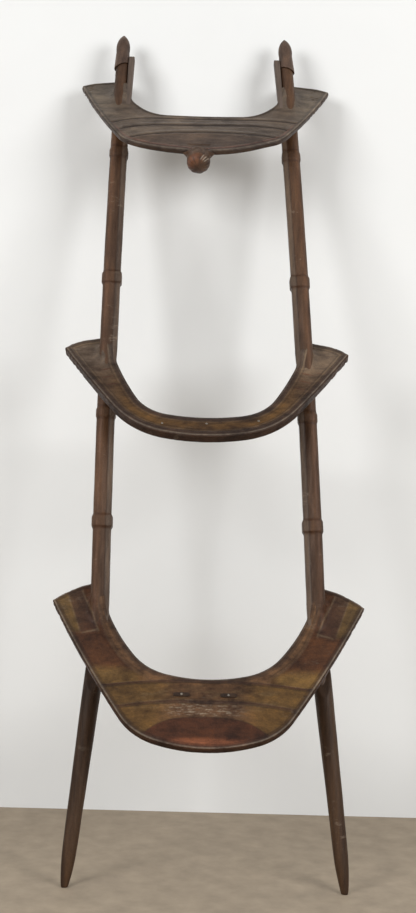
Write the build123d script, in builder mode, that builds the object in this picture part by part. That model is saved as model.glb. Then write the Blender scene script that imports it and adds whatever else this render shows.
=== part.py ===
"""Camel saddle frame: two bowed side poles with splayed legs, joined by three
crescent arches of hide-covered wood. It leans back, as it stands against a wall.

Millimetres. X runs from pole to pole, +Z is up, and the feet stand on z = 0.
The viewer who faces the frame looks along +Y, so the feet and the low middles of
the arches reach towards -Y, and the wings of the top arch reach furthest to +Y.
"""
import os
from math import ceil, cos, floor, radians, sin

from build123d import *

os.makedirs("parts", exist_ok=True)

# Driving dimensions of the whole frame
frame_length = 1528.0        # along a pole, from the floor to the tip
lean = 15.15                 # degrees the poles lean back from upright
arch_tilt = 45.0             # degrees each arch board is turned back from upright
tip_length = 148.0           # of a pole beyond the front arch
rear_height_share = 0.27421  # of the frame's length, where the rear arch crosses the poles
middle_span_share = 0.4641   # of the way from the rear arch up to the front one
bend_drop = 61.0             # from the rear arch down to where a leg bends away
bow_height_share = 0.6597    # of the frame's length, where a pole's bow is measured
bow_runs = 10                # short straight runs that a bowed pole bends in
top_rack = 35.5              # how far the tips stand to the left of the rear arch
foot_rack = 5.0              # how far the feet stand to the right of it

# Half the distance from pole to pole, as shares of the half width of the front,
# middle and rear arch
tip_spacing_share = 0.64668
bow_spacing_share = 0.6877
bend_spacing_share = 0.70552
foot_spacing_share = 0.8419

# Poles, laths and what is on them
pole_radius = 10.0
sleeve_wall = 1.4
fit = 0.3                    # clearance between pieces that seat in each other
lath_width = 8.0
lath_depth = 17.0
lath_round = 2.0
tip_lath_top = 50.0          # below the tip of the pole
tip_lath_flare = 3.0
cap_length = 74.0
cap_radius = 14.6
cap_slant = 12.0             # how much longer the cap is on its outer side
cap_solid = 30.0             # the end of the cap beyond the end of the pole
cap_belly_shares = (0.86, 0.5)    # of its radius and length, where the point starts
cap_point_shares = (0.6, 0.85)    # and a place on the curve of the point
ring_length = 20.0
ring_wall = 2.2
upper_ring_share = 0.3262    # of the way from the middle arch up to the front one
lower_ring_share = 0.3812    # of the way from the rear arch up to the middle one
collar_length = 15.0
collar_wall = 1.5
band_round = 0.9             # on the rims of rings and collars
front_collar_drop = 99.0     # below the arch that a collar hangs from
middle_collar_drop = 84.0

# Legs and the slanting joint that holds each one to its pole
leg_radius = 15.5
leg_taper_drop = 58.0        # below the bend, where the taper towards the foot starts
foot_radius = 12.0
foot_length = 60.0           # where the rounding of the foot starts
foot_flat_radius = 5.0       # at the floor
scarf_length = 104.0
scarf_slope = 16.1           # degrees between the slanting joint and the leg
peg_radius = 3.0
peg_pitch = 34.0

# Layers that every arch is made of
cover_thickness = 2.0        # hide on each face
binding_width = 2.0          # hide round the edge
trim_thickness = 1.2         # edging, bands and patches on the front face
trim_gap = 0.6               # left open between two pieces of trim

# Front arch, the top one
front_half_width = 233.5
front_drop = 158.5           # from the poles' crossing down to the lower edge
front_notch = 40.0           # from there down to the floor of its opening
front_rise = 80.0            # up to the top of the wings
front_skew = 10.0            # how much higher the lower edge ends on the right
front_thickness = 10.0
front_edging_width = 6.0

# Middle arch
middle_half_width = 252.0
middle_drop = 174.5
middle_notch = 129.0
middle_rise = 76.0
middle_thickness = 17.0
middle_edging_width = 9.0

# Rear arch, the lowest and largest
rear_half_width = 262.5
rear_drop = 242.5
rear_notch = 113.0
rear_rise = 84.0
rear_thickness = 12.0
rear_edging_width = 9.0

# Pommel knob under the front arch
knob_radius = 21.5
knob_length = 46.0           # below the lower edge of the arch
knob_grip = 20.0             # above that edge, astride the board
knob_offset = 7.0            # to the left of the middle of the arch
knob_dome = 15.0
knob_shoulder = 5.0
knob_peg_radius = 3.0

# Nails
nail_head_radius = 1.9
nail_head_height = 1.0
nail_head_round = 0.7
nail_shank_radius = 0.9
nail_length = 8.0

# Outlines, as shares of each arch's half width and of its drop (below the poles'
# crossing), notch (floor of the opening) or rise (above the crossing)
front_outer_shares = [(0.0, 1.0), (0.407, 0.892), (0.548, 0.803), (0.642, 0.692)]
front_inner_shares = [(0.0, 1.0), (0.283, 0.963), (0.475, 0.475), (0.6, -0.6)]
front_wing_shares = [(1.0, 0.725), (0.958, 0.795), (0.886, 0.88), (0.664, 1.0)]
front_outer_bow = 4.5
middle_outer_shares = [(0.0, 1.0), (0.262, 0.96), (0.516, 0.775), (0.611, 0.628)]
middle_inner_shares = [(0.0, 1.0), (0.246, 0.953), (0.389, 0.822), (0.468, 0.636), (0.623, -0.047)]
middle_wing_shares = [(1.0, 0.553), (0.921, 0.763), (0.817, 0.882), (0.683, 1.0)]
middle_outer_bow = 1.5
rear_outer_shares = [(0.0, 1.0), (0.305, 0.946), (0.526, 0.757)]
rear_inner_shares = [(0.0, 1.0), (0.248, 0.925), (0.45, 0.611), (0.625, -0.106)]
rear_wing_shares = [(1.0, 0.464), (0.914, 0.679), (0.823, 0.845), (0.686, 1.0)]
rear_outer_bow = 3.8

# Trim on the front arch: curved edges of its two bands and of its lower panel,
# as shares of half width and drop, from the middle outwards
upper_band_top_shares = [(0.0, 0.344), (0.41, 0.338), (0.66, 0.406)]
upper_band_low_shares = [(0.0, 0.458), (0.386, 0.468), (0.62, 0.563)]
lower_band_top_shares = [(0.0, 0.478), (0.386, 0.487), (0.6, 0.574)]
lower_band_low_shares = [(0.0, 0.619), (0.364, 0.651), (0.56, 0.758)]
front_panel_top_shares = [(0.0, 0.638), (0.364, 0.671), (0.535, 0.758)]
front_panel_low_shares = [(0.0, 0.95), (0.39, 0.88), (0.535, 0.8)]

# Trim on the rear arch, as shares of half width and drop
wing_strip_shares = [(1.15, -0.375), (0.932, -0.375), (0.806, 0.115), (1.0, 0.115)]
wing_panel_shares = [(0.924, -0.375), (0.798, 0.11), (0.688, 0.081), (0.84, -0.375)]
red_panel_shares = [
    (0.82, 0.135), (0.682, 0.104), (0.61, 0.217), (0.552, 0.317), (0.5, 0.392), (0.62, 0.448),
    (0.8, 0.448),
]
centre_band_top_shares = [(0.0, 0.504), (0.35, 0.512), (0.66, 0.558)]
centre_band_low_shares = [(0.0, 0.646), (0.213, 0.646), (0.56, 0.692)]
lower_panel_top_shares = [(0.0, 0.662), (0.213, 0.662), (0.55, 0.713)]
moon_top_shares = [(0.0, 0.762), (0.206, 0.79), (0.41, 0.93)]
rear_nail_shares = [(-0.15, 0.596), (0.133, 0.596)]
middle_nail_shares = [(-0.282, 0.842), (0.012, 0.834), (0.357, 0.778)]
tab_length = 26.0
tab_width = 7.0

overrun = 5.0                # how far a cut runs past what it cuts


# Heights along the frame, and half the distance between the poles at three of them
front_height = frame_length - tip_length
rear_height = frame_length * rear_height_share
middle_height = rear_height + (front_height - rear_height) * middle_span_share
bend_height = rear_height - bend_drop
bow_height = frame_length * bow_height_share
run_length = frame_length / bow_runs
upper_ring_height = middle_height + (front_height - middle_height) * upper_ring_share
lower_ring_height = rear_height + (middle_height - rear_height) * lower_ring_share
tip_half_spacing = front_half_width * tip_spacing_share
bow_half_spacing = middle_half_width * bow_spacing_share
bend_half_spacing = rear_half_width * bend_spacing_share
foot_half_spacing = rear_half_width * foot_spacing_share

# The leaning plane that holds the axes of both poles, and places in it
front_reach = rear_height * sin(radians(lean)) - rear_drop * sin(radians(arch_tilt))
front_reach -= (rear_thickness / 2 + trim_thickness) * cos(radians(arch_tilt))
back_reach = front_height * sin(radians(lean)) + front_rise * sin(radians(arch_tilt))
back_reach += front_thickness / 2 * cos(radians(arch_tilt))
middle_rack = top_rack * (middle_height - rear_height) / (frame_length - rear_height)
side_shift = (middle_half_width + middle_rack - rear_half_width) / 2
rails = Plane(
    origin=(side_shift, -(front_reach + back_reach) / 2, 0),
    x_dir=(1, 0, 0),
    z_dir=(0, -cos(radians(lean)), sin(radians(lean))),
)


def rack(height):
    """Sideways shift of the frame's middle line at a height along the frame."""
    return -top_rack * (height - rear_height) / (frame_length - rear_height)


def bowed_spacing(height):
    """Half the distance between the poles, on a curve through three places."""
    places = [
        (bend_height, bend_half_spacing),
        (bow_height, bow_half_spacing),
        (frame_length, tip_half_spacing),
    ]
    total = 0.0
    for own, value in places:
        weight = 1.0
        for other, _ in places:
            if other != own:
                weight *= (height - other) / (own - other)
        total += weight * value
    return total


def half_spacing(height):
    """The same, with the curve followed in straight runs."""
    below = floor(height / run_length) * run_length
    part = (height - below) / run_length
    return bowed_spacing(below) * (1 - part) + bowed_spacing(below + run_length) * part


def run_heights(low, high):
    """Two heights, and those between them where one straight run meets the next."""
    breaks = [run_length * i for i in range(floor(low / run_length), ceil(high / run_length))]
    return [low, *[place for place in breaks if low + fit < place < high - fit], high]


def pole_x(side, height):
    return side * half_spacing(height) + rack(height)


def pole_plane(side, height):
    """Plane square to a pole, with its local X across the frame."""
    step = lath_width
    rise = Vector(pole_x(side, height + step) - pole_x(side, height - step), 2 * step, 0)
    origin = rails.from_local_coords((pole_x(side, height), height, 0))
    along = rails.x_dir * rise.X + rails.y_dir * rise.Y
    return Plane(origin=origin, x_dir=along.cross(rails.z_dir), z_dir=along)


def arch_plane(height):
    """Middle plane of an arch: local X across, local Y up the board, Z to the front."""
    return Plane(
        origin=rails.from_local_coords((rack(height), height, 0)),
        x_dir=(1, 0, 0),
        z_dir=(0, -cos(radians(arch_tilt)), sin(radians(arch_tilt))),
    )


front_plane = arch_plane(front_height)
middle_plane = arch_plane(middle_height)
rear_plane = arch_plane(rear_height)
front_sizes = (front_half_width, front_drop, front_notch, front_rise)
middle_sizes = (middle_half_width, middle_drop, middle_notch, middle_rise)
rear_sizes = (rear_half_width, rear_drop, rear_notch, rear_rise)


def scaled(shares, width, depth):
    """Points on an arch, from shares of its half width and of a depth below the poles."""
    return [(across * width, -down * depth) for across, down in shares]


def curve_chain(points):
    """Arcs that leave the middle line level and run on into one another."""
    heading = Vector(points[-1][0], 0).normalized()
    for start, end in zip(points, points[1:]):
        run = Vector(*end) - Vector(*start)
        if heading.cross(run).length:
            piece = TangentArc(start, end, tangent=heading)
        else:
            piece = Line(start, end)
        heading = piece % 1


def arch_face(sizes, outer_shares, inner_shares, wing_shares, outer_bow, inset, skew=0.0):
    """Flat crescent outline of an arch, drawn in from its true edge by the inset. The
    skew lifts the lower edge on the right, and lowers it on the left."""
    half_width, drop, notch, rise = sizes
    with BuildSketch() as face:
        with BuildLine():
            for side in (-1, 1):
                outer = scaled(outer_shares, side * half_width, drop)
                inner = scaled(inner_shares, side * half_width, notch)
                wing = scaled(wing_shares, side * half_width, -rise)
                outer = [(x, y + skew * x / half_width) for x, y in outer]
                run = Vector(*wing[0]) - Vector(*outer[-1])
                bowed = (Vector(*wing[0]) + Vector(*outer[-1])) / 2
                bowed += Vector(run.Y, -run.X).normalized() * side * outer_bow
                curve_chain(outer)
                ThreePointArc(outer[-1], (bowed.X, bowed.Y), wing[0])
                ThreePointArc(wing[0], wing[1], wing[2])
                Line(wing[2], wing[3])
                Line(wing[3], inner[-1])
                curve_chain(inner)
        make_face()
        if inset:
            offset(amount=-inset)
    return face.sketch


def front_face(inset=0.0):
    return arch_face(
        front_sizes, front_outer_shares, front_inner_shares, front_wing_shares,
        front_outer_bow, inset, front_skew,
    )


def middle_face(inset=0.0):
    return arch_face(
        middle_sizes, middle_outer_shares, middle_inner_shares, middle_wing_shares,
        middle_outer_bow, inset,
    )


def rear_face(inset=0.0):
    return arch_face(
        rear_sizes, rear_outer_shares, rear_inner_shares, rear_wing_shares,
        rear_outer_bow, inset,
    )


def finish(piece, name):
    piece.part.label = name
    export_step(piece.part, f"parts/{name}.step")


def rod(side, radius, low, high):
    """Round bar along a pole's axis, between two heights, in mitred straight runs."""
    places = [
        rails.from_local_coords((pole_x(side, height), height, 0))
        for height in run_heights(low, high)
    ]
    inwards = rails.x_dir * -side
    with BuildPart() as bar:
        for before, place, after in zip(
            places[:1] + places, places, places[1:] + places[-1:]
        ):
            with BuildSketch(Plane(origin=place, x_dir=inwards, z_dir=after - before)):
                Circle(radius)
        loft(ruled=True)
    return bar.part


def leg_plane(side):
    """Plane of a leg: origin at its foot on the floor, local Y up its axis."""
    foot = rails.from_local_coords((side * foot_half_spacing + foot_rack, 0, 0))
    top = rails.from_local_coords((pole_x(side, bend_height), bend_height, 0))
    along = (top - foot).normalized()
    return Plane(origin=foot, x_dir=along.cross(rails.z_dir), z_dir=rails.z_dir)


def scarf_plane(side):
    """Slanting joint between a pole and its leg. Its Z side is the pole's side."""
    own = leg_plane(side)
    origin = rails.from_local_coords((pole_x(side, bend_height), bend_height, 0))
    normal = own.z_dir * cos(radians(scarf_slope)) + own.y_dir * sin(radians(scarf_slope))
    return Plane(origin=origin, x_dir=own.x_dir, z_dir=normal)


def scarf_pins(side, radius, shrink):
    """Round pins through the slanting joint, short of both surfaces by the shrink."""
    pole_side = pole_radius - shrink
    leg_side = leg_radius - shrink
    with BuildPart() as pins:
        for place in (-peg_pitch / 2, peg_pitch / 2):
            start = rails.from_local_coords(
                (pole_x(side, bend_height + place), bend_height + place, -leg_side)
            )
            with BuildSketch(Plane(origin=start, z_dir=rails.z_dir)):
                Circle(radius)
            extrude(amount=leg_side + pole_side)
    return pins.part


def knob_pin(radius, shrink):
    """Pin through the pommel knob and the front arch, square to the board."""
    reach = knob_radius - shrink
    with BuildPart() as pin:
        with BuildSketch(front_plane.offset(-reach)):
            with Locations((-knob_offset, knob_grip / 2 - front_drop)):
                Circle(radius)
        extrude(amount=2 * reach)
    return pin.part


def nail_shanks(plane, top, places, radius):
    """Round shanks that run back from a level in front of an arch's middle plane."""
    with BuildPart() as shanks:
        with BuildSketch(plane.offset(top - nail_length)):
            with Locations(*places):
                Circle(radius)
        extrude(amount=nail_length)
    return shanks.part


SIDES = {"left": -1, "right": 1}
channels = [
    rod(side, pole_radius + fit, bend_height - scarf_length / 2, frame_length)
    for side in SIDES.values()
]


def arch_boards(name, plane, thickness, outline, cuts):
    """Wooden board of an arch, with its hide covers, edge binding and edging."""
    inner = thickness / 2 - cover_thickness

    with BuildPart() as core:
        with BuildSketch(plane.offset(-inner)):
            add(outline(binding_width + fit))
        extrude(amount=2 * inner)
        for cut in cuts:
            add(cut, mode=Mode.SUBTRACT)
    finish(core, f"{name}_arch_core")

    with BuildPart() as binding:
        with BuildSketch(plane.offset(-inner)):
            add(outline())
            add(outline(binding_width), mode=Mode.SUBTRACT)
        extrude(amount=2 * inner)
        for cut in cuts:
            add(cut, mode=Mode.SUBTRACT)
    finish(binding, f"{name}_arch_binding")

    with BuildPart() as cover:
        with BuildSketch(plane.offset(inner)):
            add(outline())
        extrude(amount=cover_thickness)
        for cut in cuts:
            add(cut, mode=Mode.SUBTRACT)
    finish(cover, f"{name}_arch_front_cover")

    with BuildPart() as back:
        with BuildSketch(plane.offset(-thickness / 2)):
            add(outline())
        extrude(amount=cover_thickness)
        for cut in cuts:
            add(cut, mode=Mode.SUBTRACT)
    finish(back, f"{name}_arch_back_cover")


def on_arch(sizes, shares):
    return scaled(shares, sizes[0], sizes[1])


knob_pin_cut = knob_pin(knob_peg_radius + fit, -overrun)
middle_nail_places = on_arch(middle_sizes, middle_nail_shares)
middle_nail_top = middle_thickness / 2
middle_nail_cut = nail_shanks(
    middle_plane, middle_nail_top, middle_nail_places, nail_shank_radius + fit
)
rear_nail_places = on_arch(rear_sizes, rear_nail_shares)
rear_nail_top = rear_thickness / 2 + 2 * trim_thickness
rear_nail_cut = nail_shanks(
    rear_plane, rear_nail_top, rear_nail_places, nail_shank_radius + fit
)

arch_boards("front", front_plane, front_thickness, front_face, channels + [knob_pin_cut])
arch_boards("middle", middle_plane, middle_thickness, middle_face, channels + [middle_nail_cut])
arch_boards("rear", rear_plane, rear_thickness, rear_face, channels + [rear_nail_cut])


# Poles, their hide sleeves, laths, rings and collars
def between(upper, upper_thickness, lower, lower_thickness):
    """The two faces that end a piece which runs from one arch down to the next."""
    return (
        upper.offset(-upper_thickness / 2 - fit),
        lower.offset(lower_thickness / 2 + fit),
    )


SPANS = {
    "upper": (
        between(front_plane, front_thickness, middle_plane, middle_thickness),
        middle_height, front_height,
    ),
    "lower": (
        between(middle_plane, middle_thickness, rear_plane, rear_thickness),
        rear_height, middle_height,
    ),
}
run_past = 4 * pole_radius   # the slanting faces of the arches cross a pole this far off
lath_reach = pole_radius + fit + sleeve_wall + fit


def beside(side, reach, height):
    """Place on the inner side of a pole, this far from its axis."""
    return (side * (half_spacing(height) - reach) + rack(height), height)


def lath_bar(side, low, high, clearance=0.0):
    """Flat lath that follows the inner side of a pole, run by run."""
    near = lath_reach - clearance
    far = near + lath_width + 2 * clearance
    heights = run_heights(low, high)
    outline = [beside(side, near, height) for height in heights]
    outline += [beside(side, far, height) for height in reversed(heights)]
    with BuildPart() as bar:
        with BuildSketch(rails):
            with BuildLine():
                Polyline(*outline, close=True)
            make_face()
        extrude(amount=lath_depth / 2 + clearance, both=True)
    return bar.part


def tip_lath_bar(side, high, clearance=0.0):
    """Short straight lath beside a pole's tip, which gets wider towards its top."""
    low = front_height - run_past
    near = lath_reach - clearance
    far = near + lath_width + 2 * clearance
    with BuildPart() as bar:
        with BuildSketch(rails):
            with BuildLine():
                Polyline(
                    beside(side, near, low),
                    beside(side, near, high),
                    beside(side, far + tip_lath_flare, high),
                    beside(side, far, low),
                    close=True,
                )
            make_face()
        extrude(amount=lath_depth / 2 + clearance, both=True)
        long_edges = bar.edges().filter_by(lambda edge: edge.length > (high - low) / 2)
        fillet(long_edges, lath_round)
    return bar.part


def wrap(name, side, height, length, wall):
    """Lashing band drawn tight round a pole and the lath beside it."""
    sleeve_radius = pole_radius + fit + sleeve_wall
    lath_middle = lath_reach + lath_width / 2
    lath_far = lath_reach + lath_width + fit
    lath_edge = lath_depth / 2 + fit
    with BuildPart() as band:
        with BuildSketch(pole_plane(side, height).offset(-length / 2)) as section:
            Circle(sleeve_radius + wall)
            with Locations((-side * lath_far, lath_edge), (-side * lath_far, -lath_edge)):
                Circle(wall)
            make_hull(section.edges())
            Circle(sleeve_radius + fit, mode=Mode.SUBTRACT)
            with Locations((-side * lath_middle, 0)):
                Rectangle(lath_width + 2 * fit, lath_depth + 2 * fit, mode=Mode.SUBTRACT)
        extrude(amount=length)
        ends = band.faces().filter_by(GeomType.PLANE).sort_by(Axis((0, 0, 0), rails.y_dir))
        rims = ends[0].outer_wire().edges() + ends[-1].outer_wire().edges()
        fillet(rims, band_round)
    finish(band, name)


for side_name, side in SIDES.items():
    scarf = scarf_plane(side)
    pin_cut = scarf_pins(side, peg_radius + fit, -overrun)
    pole_low = bend_height - scarf_length / 2

    with BuildPart() as pole:
        add(rod(side, pole_radius, pole_low, frame_length - cap_solid))
        split(bisect_by=scarf, keep=Keep.TOP)
        add(pin_cut, mode=Mode.SUBTRACT)
    finish(pole, f"{side_name}_pole")

    own = leg_plane(side)
    leg_top = bend_height + scarf_length / 2
    with BuildPart() as leg:
        with BuildSketch(own):
            with BuildLine():
                Line((0, leg_top), (leg_radius, leg_top))
                Line((leg_radius, leg_top), (leg_radius, bend_height - leg_taper_drop))
                taper = Line(
                    (leg_radius, bend_height - leg_taper_drop), (foot_radius, foot_length)
                )
                TangentArc(taper @ 1, (foot_flat_radius, -overrun), tangent=taper % 1)
                Line((foot_flat_radius, -overrun), (0, -overrun))
                Line((0, -overrun), (0, leg_top))
            make_face()
        revolve(axis=Axis(own.origin, own.y_dir))
        split(bisect_by=scarf.offset(-fit), keep=Keep.BOTTOM)
        split(bisect_by=Plane.XY, keep=Keep.TOP)
        add(pin_cut, mode=Mode.SUBTRACT)
    finish(leg, f"{side_name}_leg")

    for span_name, (faces, low, high) in SPANS.items():
        above, below = faces
        bore = rod(side, pole_radius + fit, low - run_past, high + run_past)
        with BuildPart() as sleeve:
            add(rod(side, pole_radius + fit + sleeve_wall, low - run_past, high + run_past))
            add(bore, mode=Mode.SUBTRACT)
            split(bisect_by=above, keep=Keep.BOTTOM)
            split(bisect_by=below, keep=Keep.TOP)
        finish(sleeve, f"{side_name}_{span_name}_sleeve")

        with BuildPart() as lath:
            add(lath_bar(side, low - run_past, high + run_past))
            split(bisect_by=above, keep=Keep.BOTTOM)
            split(bisect_by=below, keep=Keep.TOP)
        finish(lath, f"{side_name}_{span_name}_lath")

    front_top = front_plane.offset(front_thickness / 2 + fit)
    lath_high = frame_length - tip_lath_top
    with BuildPart() as tip_lath:
        add(tip_lath_bar(side, lath_high - fit))
        split(bisect_by=front_top, keep=Keep.TOP)
    finish(tip_lath, f"{side_name}_tip_lath")

    # The cap is a spear-shaped shell. Its lower edge slants, longer on the outside.
    cap_low = frame_length - cap_length
    cap_axis = pole_plane(side, cap_low)
    profile = Plane(origin=cap_axis.origin, x_dir=cap_axis.x_dir, z_dir=rails.z_dir)
    rim = Plane(
        origin=profile.from_local_coords((0, cap_slant / 2)),
        x_dir=profile.x_dir * 2 * cap_radius - profile.y_dir * side * cap_slant,
        z_dir=profile.y_dir * 2 * cap_radius + profile.x_dir * side * cap_slant,
    )
    cap_top = frame_length - cap_solid
    bore = rod(side, pole_radius + fit, front_height, cap_top + fit)
    inward = -side * cap_radius
    belly = (inward * cap_belly_shares[0], cap_length * cap_belly_shares[1])
    point = (inward * cap_point_shares[0], cap_length * cap_point_shares[1])
    with BuildPart() as cap:
        with BuildSketch(profile):
            with BuildLine():
                Polyline((0, cap_length), (0, -cap_slant), (inward, -cap_slant), (inward, 0))
                Line((inward, 0), belly)
                Spline(belly, point, (0, cap_length))
            make_face()
        revolve(axis=Axis(profile.origin, profile.y_dir))
        add(tip_lath_bar(side, lath_high, fit), mode=Mode.SUBTRACT)
        add(bore, mode=Mode.SUBTRACT)
        split(bisect_by=rim, keep=Keep.TOP)
    finish(cap, f"{side_name}_tip_cap")

    with BuildPart() as tip_sleeve:
        add(rod(side, pole_radius + fit + sleeve_wall, front_height - run_past, cap_top))
        add(rod(side, pole_radius + fit, front_height - run_past, cap_top), mode=Mode.SUBTRACT)
        split(bisect_by=front_top, keep=Keep.TOP)
        split(bisect_by=rim.offset(-fit), keep=Keep.BOTTOM)
    finish(tip_sleeve, f"{side_name}_tip_sleeve")

    wrap(f"{side_name}_upper_ring", side, upper_ring_height, ring_length, ring_wall)
    wrap(f"{side_name}_lower_ring", side, lower_ring_height, ring_length, ring_wall)
    collar_height = front_height - front_collar_drop
    wrap(f"{side_name}_front_collar", side, collar_height, collar_length, collar_wall)
    collar_height = middle_height - middle_collar_drop
    wrap(f"{side_name}_middle_collar", side, collar_height, collar_length, collar_wall)

with BuildPart() as scarf_pegs:
    for side in SIDES.values():
        add(scarf_pins(side, peg_radius, fit))
finish(scarf_pegs, "scarf_pegs")


# Trim on the front faces of the arches. It is cut clear of the poles, sleeves and
# laths that come through the boards, and of the knob.
def trim_cuts(height):
    low = height - run_past
    high = height + 2 * run_past
    cuts = []
    for side in SIDES.values():
        cuts.append(rod(side, pole_radius + fit + sleeve_wall + trim_gap / 2, low, high))
        if height == front_height:
            cuts.append(tip_lath_bar(side, lath_high, trim_gap / 2))
        else:
            cuts.append(lath_bar(side, low, high, trim_gap / 2))
    return cuts


def knob_round(radius, low, high):
    """Solid of revolution about the knob's axis, as wide as the radius."""
    axis_plane = Plane(
        origin=front_plane.from_local_coords((-knob_offset, -front_drop)),
        x_dir=front_plane.x_dir,
        z_dir=front_plane.z_dir,
    )
    with BuildPart() as turned:
        with BuildSketch(axis_plane):
            with BuildLine():
                Polyline((0, low), (radius, low), (radius, high), (0, high), close=True)
            make_face()
            corners = vertices().group_by(Axis.X)[-1].sort_by(Axis.Y)
            fillet(corners[0], knob_dome)
            fillet(corners[-1], knob_shoulder)
        revolve(axis=Axis(axis_plane.origin, axis_plane.y_dir))
    return turned.part


def trim(name, plane, top, outline, cuts, thickness=trim_thickness):
    """Thin piece that lies on an arch, from a level in front of its middle plane."""
    with BuildPart() as piece:
        with BuildSketch(plane.offset(top)):
            add(outline)
        extrude(amount=thickness)
        for cut in cuts:
            add(cut, mode=Mode.SUBTRACT)
    finish(piece, name)


def edging(name, plane, thickness, outline, width, cuts):
    """Strip of hide that runs round the front face of an arch, along its edge."""
    with BuildSketch() as strip:
        add(outline())
        add(outline(width), mode=Mode.SUBTRACT)
    trim(f"{name}_arch_edging", plane, thickness / 2, strip.sketch, cuts)


def field(outline, width):
    """What the edging leaves open for the other trim."""
    return outline(width + trim_gap)


def two_curves(top, low, field_face):
    """Face between two curves, each given from the middle line out to the right."""
    with BuildSketch() as face:
        with BuildLine():
            curve_chain(top)
            Line(top[-1], low[-1])
            curve_chain(low)
            mirror(about=Plane.YZ)
        make_face()
        add(field_face, mode=Mode.INTERSECT)
    return face.sketch


def panel(points, side, field_face):
    """Face with straight sides, mirrored for the left, kept inside the edging."""
    with BuildSketch() as face:
        with BuildLine():
            Polyline(*[(side * across, down) for across, down in points], close=True)
        make_face()
        add(field_face, mode=Mode.INTERSECT)
    return face.sketch


knob_clearance = knob_round(knob_radius + fit, -knob_length, knob_grip + fit)
front_cuts = trim_cuts(front_height) + [knob_clearance, knob_pin_cut]
middle_cuts = trim_cuts(middle_height) + [middle_nail_cut]
rear_cuts = trim_cuts(rear_height) + [rear_nail_cut]

edging("front", front_plane, front_thickness, front_face, front_edging_width, front_cuts)
edging("middle", middle_plane, middle_thickness, middle_face, middle_edging_width, middle_cuts)
edging("rear", rear_plane, rear_thickness, rear_face, rear_edging_width, rear_cuts)

front_field = field(front_face, front_edging_width)
FRONT_BANDS = {
    "front_arch_upper_band": (upper_band_top_shares, upper_band_low_shares),
    "front_arch_lower_band": (lower_band_top_shares, lower_band_low_shares),
    "front_arch_panel": (front_panel_top_shares, front_panel_low_shares),
}
for name, (top_shares, low_shares) in FRONT_BANDS.items():
    shape = two_curves(
        on_arch(front_sizes, top_shares), on_arch(front_sizes, low_shares), front_field
    )
    trim(name, front_plane, front_thickness / 2, shape, front_cuts)

rear_field = field(rear_face, rear_edging_width)
WING_PANELS = {
    "wing_strip": wing_strip_shares,
    "wing_panel": wing_panel_shares,
    "red_panel": red_panel_shares,
}
for side_name, side in SIDES.items():
    for name, shares in WING_PANELS.items():
        shape = panel(on_arch(rear_sizes, shares), side, rear_field)
        trim(f"{side_name}_{name}", rear_plane, rear_thickness / 2, shape, rear_cuts)

centre_band = two_curves(
    on_arch(rear_sizes, centre_band_top_shares),
    on_arch(rear_sizes, centre_band_low_shares),
    rear_field,
)
trim("rear_arch_centre_band", rear_plane, rear_thickness / 2, centre_band, rear_cuts)

# The half moon is seated in the lower panel, with the trim gap round it
bottom = (0, -rear_drop - overrun)
moon_curve = on_arch(rear_sizes, moon_top_shares)
moon = two_curves(moon_curve, [bottom, (moon_curve[-1][0], bottom[1])], rear_field)
trim("rear_arch_half_moon", rear_plane, rear_thickness / 2, moon, rear_cuts)
with BuildSketch() as lower_panel:
    add(
        two_curves(
            on_arch(rear_sizes, lower_panel_top_shares),
            [bottom, (rear_half_width, bottom[1])],
            rear_field,
        )
    )
    add(offset(moon, amount=trim_gap, mode=Mode.PRIVATE), mode=Mode.SUBTRACT)
trim("rear_arch_lower_panel", rear_plane, rear_thickness / 2, lower_panel.sketch, rear_cuts)

with BuildSketch() as tab_faces:
    with Locations(*on_arch(rear_sizes, rear_nail_shares)):
        SlotOverall(tab_length, tab_width)
trim(
    "rear_arch_tabs", rear_plane, rear_thickness / 2 + trim_thickness,
    tab_faces.sketch, rear_cuts,
)


def nails(name, plane, top, places):
    """Domed nails, each with its head on the face and its shank in the board."""
    with BuildPart() as group:
        with BuildSketch(plane.offset(top)):
            with Locations(*places):
                Circle(nail_head_radius)
        extrude(amount=nail_head_height)
        rims = group.edges().group_by(Axis(plane.origin, plane.z_dir))[-1]
        fillet(rims, nail_head_round)
        add(nail_shanks(plane, top, places, nail_shank_radius))
    finish(group, name)


nails("middle_arch_nails", middle_plane, middle_nail_top, middle_nail_places)
nails("rear_arch_nails", rear_plane, rear_nail_top, rear_nail_places)

# The knob sits astride the front arch's lower edge and is pinned through it
with BuildPart() as arch_slot:
    with BuildSketch(front_plane.offset(-front_thickness / 2 - fit)):
        add(front_face(-fit))
    extrude(amount=front_thickness + 2 * fit)
with BuildPart() as knob:
    add(knob_round(knob_radius, -knob_length, knob_grip))
    add(arch_slot.part, mode=Mode.SUBTRACT)
    add(knob_pin_cut, mode=Mode.SUBTRACT)
finish(knob, "pommel_knob")

with BuildPart() as knob_peg:
    add(knob_pin(knob_peg_radius, fit))
finish(knob_peg, "pommel_peg")
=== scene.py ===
"""Looks of the camel saddle frame: worn hide over wood, a white wall and a pale floor.

Everything is in metres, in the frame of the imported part. The poles lean back by LEAN
and the boards of the arches by TILT.
"""
import math

import bmesh
import bpy
import numpy as np
from mathutils import Matrix, Vector, kdtree, noise


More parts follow.
